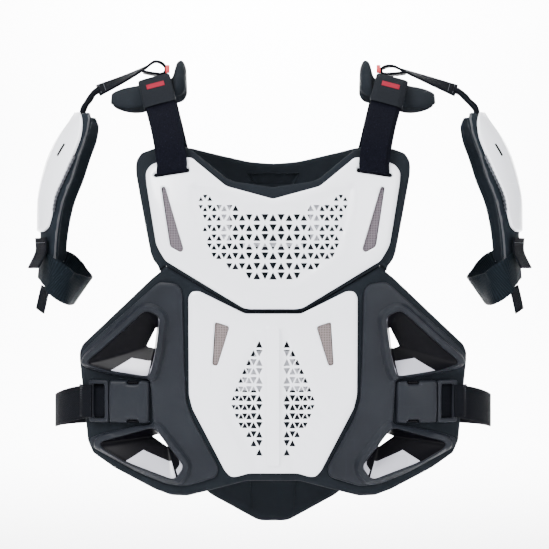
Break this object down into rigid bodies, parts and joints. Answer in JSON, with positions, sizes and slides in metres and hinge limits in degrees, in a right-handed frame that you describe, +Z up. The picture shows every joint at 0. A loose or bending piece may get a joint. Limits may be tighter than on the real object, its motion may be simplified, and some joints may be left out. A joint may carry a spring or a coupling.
{
  "type": "roost deflector",
  "caption": "Motocross roost deflector worn over chest and back: vented white chest and belly plates on black foam, dark side shells, shoulder straps, waist buckles and arm guards",
  "frame": {"origin": "middle of the shoulder line, at the underside of the shoulder pads, where it hangs on the wearer's shoulders", "axes": "+Z up, +X to the wearer's left, the wearer faces -Y"},
  "size_m": [0.6034, 0.2385, 0.5694],
  "materials": {
    "white_plastic": "satin gloss moulded white plastic",
    "dark_plastic": "fine-textured dark grey plastic",
    "gloss_black": "polished black plastic",
    "black_foam": "moulded black foam faced with cloth",
    "black_webbing": "black woven webbing and loop pile",
    "grey_mesh": "grey spacer mesh",
    "red_webbing": "red woven tape"
  },
  "bodies": {
    "root": {"arm_hanger_left": "black_webbing", "arm_hanger_right": "black_webbing", "arm_link_left": "black_webbing", "arm_link_right": "black_webbing", "arm_pad_left": "black_foam", "arm_pad_right": "black_foam", "arm_shell_left": "white_plastic", "arm_shell_right": "white_plastic", "back_foam": "black_foam", "back_plate": "dark_plastic", "back_strap_left": "black_webbing", "back_strap_right": "black_webbing", "belly_mesh_left": "grey_mesh", "belly_mesh_right": "grey_mesh", "belly_plate": "white_plastic", "bicep_strap_left": "black_webbing", "bicep_strap_right": "black_webbing", "bicep_tab_left": "black_webbing", "bicep_tab_right": "black_webbing", "bicep_tail_left": "black_webbing", "bicep_tail_right": "black_webbing", "body_foam": "black_foam", "buckle_frame_left": "dark_plastic", "buckle_frame_right": "dark_plastic", "buckle_socket_left": "dark_plastic", "buckle_socket_right": "dark_plastic", "chest_foam": "black_foam", "chest_mesh_left": "grey_mesh", "chest_mesh_right": "grey_mesh", "chest_plate": "white_plastic", "chest_strap_left": "black_webbing", "chest_strap_right": "black_webbing", "duct_lower_left": "gloss_black", "duct_lower_right": "gloss_black", "duct_upper_left": "gloss_black", "duct_upper_right": "gloss_black", "pull_tab_left": "red_webbing", "pull_tab_right": "red_webbing", "shoulder_pad_left": "black_foam", "shoulder_pad_right": "black_foam", "side_shell_left": "dark_plastic", "side_shell_right": "dark_plastic", "side_strap_left": "black_webbing", "side_strap_right": "black_webbing", "side_tab_left": "black_webbing", "side_tab_right": "black_webbing", "strap_sleeve_left": "dark_plastic", "strap_sleeve_right": "dark_plastic"}
  },
  "joints": []
}
